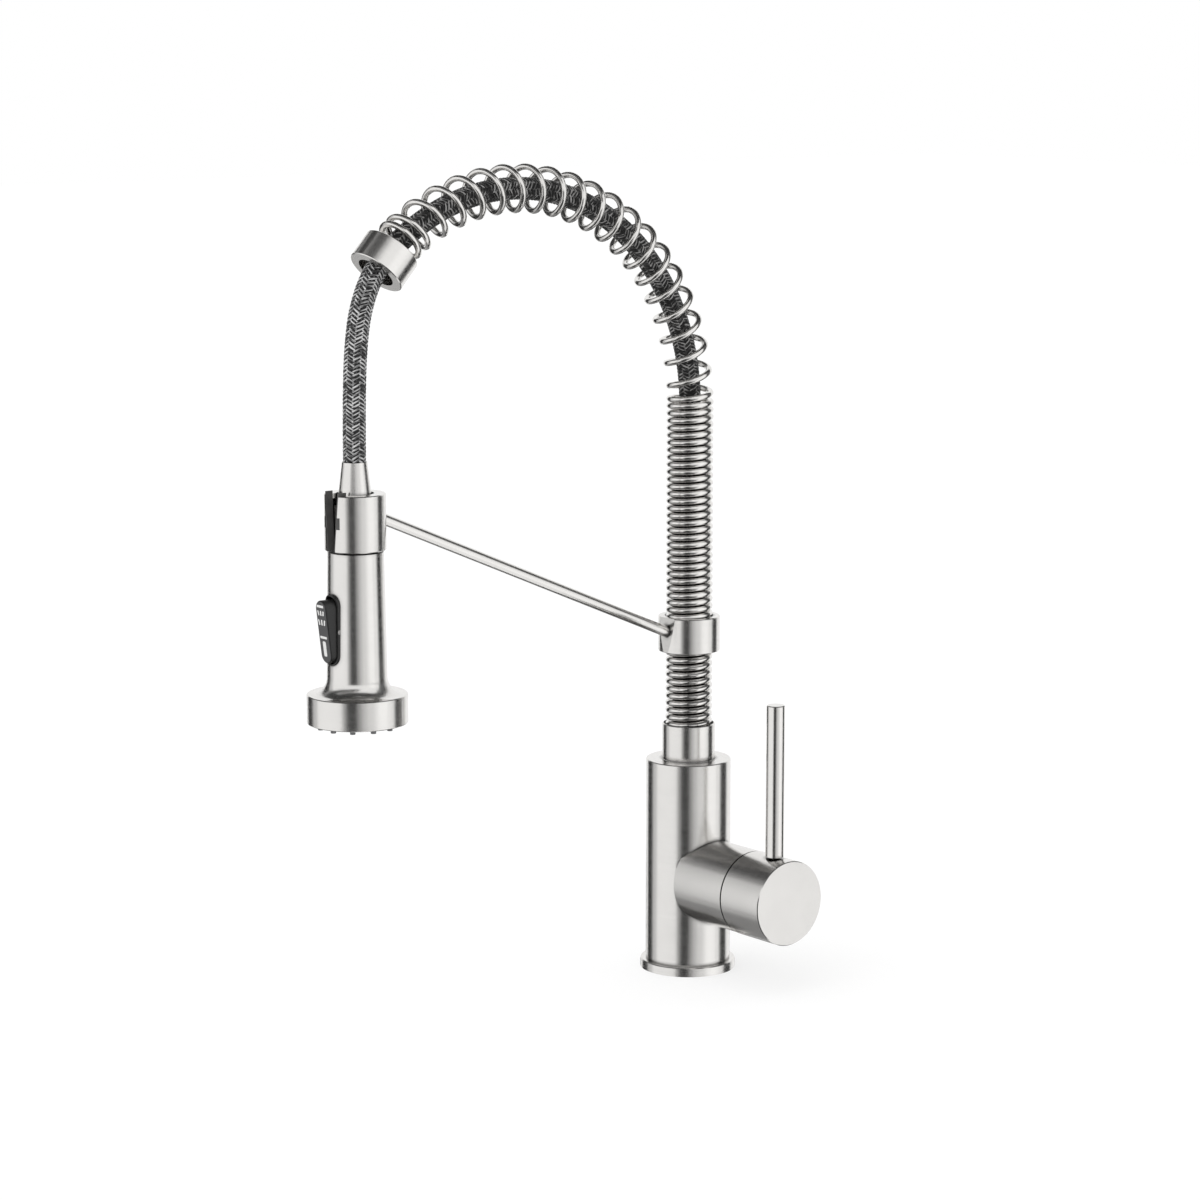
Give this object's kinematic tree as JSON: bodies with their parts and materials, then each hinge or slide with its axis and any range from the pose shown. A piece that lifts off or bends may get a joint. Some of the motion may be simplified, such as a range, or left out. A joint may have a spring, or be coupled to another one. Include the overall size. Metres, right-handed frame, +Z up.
{
  "type": "pull-out kitchen faucet",
  "caption": "Spring-arch kitchen faucet with a side mixing lever, a braided hose in an open coil, and a pull-out spray head that docks on a slanted support arm.",
  "frame": {"origin": "centre of the base flange's underside, on the sink deck", "axes": "+Z up along the column, -Y towards the sink and the spray head, +X towards the handle"},
  "size_m": [0.1112, 0.2761, 0.4506],
  "materials": {
    "stainless": "spot-free brushed stainless, satin",
    "spring_steel": "satin drawn spring wire",
    "tube_steel": "satin tube, seen only between turns of the spring",
    "screw_steel": "plain steel",
    "brass": "machined",
    "hose_braid": "dark grey braided nylon with light flecks",
    "black_plastic": "moulded, satin",
    "grey_plastic": "moulded",
    "inner_plastic": "moulded",
    "cartridge_metal": "machined",
    "ceramic": "ground and lapped ceramic",
    "black_rubber": "moulded seal rubber",
    "grey_rubber": "soft silicone rubber"
  },
  "bodies": {
    "base": {"base_flange": "stainless", "deck_gasket": "black_rubber", "body_shell": "stainless", "lower_swivel_bush": "inner_plastic", "upper_swivel_bush": "inner_plastic", "cartridge_base": "inner_plastic", "port_seals": "black_rubber", "fixed_disc": "ceramic", "cartridge_housing": "inner_plastic", "cartridge_nut": "brass", "dome_cover": "stainless"},
    "stem_turn": {"stem_carrier": "inner_plastic", "stem_pin": "spring_steel"},
    "disc": {"moving_disc": "ceramic"},
    "handle": {"cartridge_stem": "cartridge_metal", "handle_cap": "stainless", "handle_lever": "stainless", "handle_set_screw": "screw_steel"},
    "spout": {"spout_sleeve": "stainless", "snap_ring": "spring_steel", "riser_tube": "tube_steel", "coil_spring": "spring_steel", "end_ring": "stainless", "end_ring_bush": "black_plastic", "arm_ring": "stainless", "arm_set_screw": "screw_steel", "arm_rod": "stainless", "dock_sleeve": "stainless", "dock_liner": "black_plastic", "hose_riser": "hose_braid", "hose_coupling": "brass", "hose_drop": "hose_braid"},
    "hose_end": {"hose_ferrule": "stainless", "swivel_clip": "spring_steel", "swivel_seal": "black_rubber"},
    "spray_head": {"spray_body": "stainless", "waterway_insert": "inner_plastic", "check_valve": "inner_plastic", "filter_washer": "black_rubber", "spray_face": "grey_plastic", "nozzle_mat": "grey_rubber", "aerator": "grey_plastic", "rocker_bezel": "black_plastic", "rocker_pin": "spring_steel"},
    "rocker": {"rocker_button": "black_plastic"},
    "spool": {"diverter_spool": "inner_plastic"}
  },
  "joints": [
    {"name": "spout_swivel", "type": "hinge", "parent": "base", "child": "spout", "pos_m": [0, 0, 0.119], "axis": [0, 0, 1], "range_deg": [-90, 90]},
    {"name": "handle_turn", "type": "hinge", "parent": "base", "child": "stem_turn", "pos_m": [0.038, 0, 0.0524], "axis": [1, 0, 0], "range_deg": [0, 90]},
    {"name": "handle_tilt", "type": "hinge", "parent": "stem_turn", "child": "handle", "pos_m": [0.038, 0, 0.0524], "axis": [0, 1, 0], "range_deg": [0, 20]},
    {"name": "disc_slide", "type": "slide", "parent": "stem_turn", "child": "disc", "axis": [0, 0, 1], "range_m": [0, 0.0038]},
    {"name": "spray_pull", "type": "slide", "parent": "spout", "child": "hose_end", "axis": [0, 0, -1], "range_m": [0, 0.25], "stiffness_N_per_m": 20, "springref_m": -0.4, "deforming": ["hose_drop"]},
    {"name": "spray_swivel", "type": "hinge", "parent": "hose_end", "child": "spray_head", "pos_m": [0, -0.2236, 0.266], "axis": [0, 0, 1], "continuous": true},
    {"name": "rocker_rock", "type": "hinge", "parent": "spray_head", "child": "rocker", "pos_m": [0, -0.2378, 0.2174], "axis": [-1, 0, 0], "range_deg": [0, 8]},
    {"name": "spool_slide", "type": "slide", "parent": "spray_head", "child": "spool", "axis": [0, -1, 0], "range_m": [0, 0.0015]}
  ],
  "couplings": [
    {"joint": "disc_slide", "follows": "handle_tilt", "m_per_rad": 0.0105},
    {"joint": "spool_slide", "follows": "rocker_rock", "m_per_rad": 0.01}
  ]
}
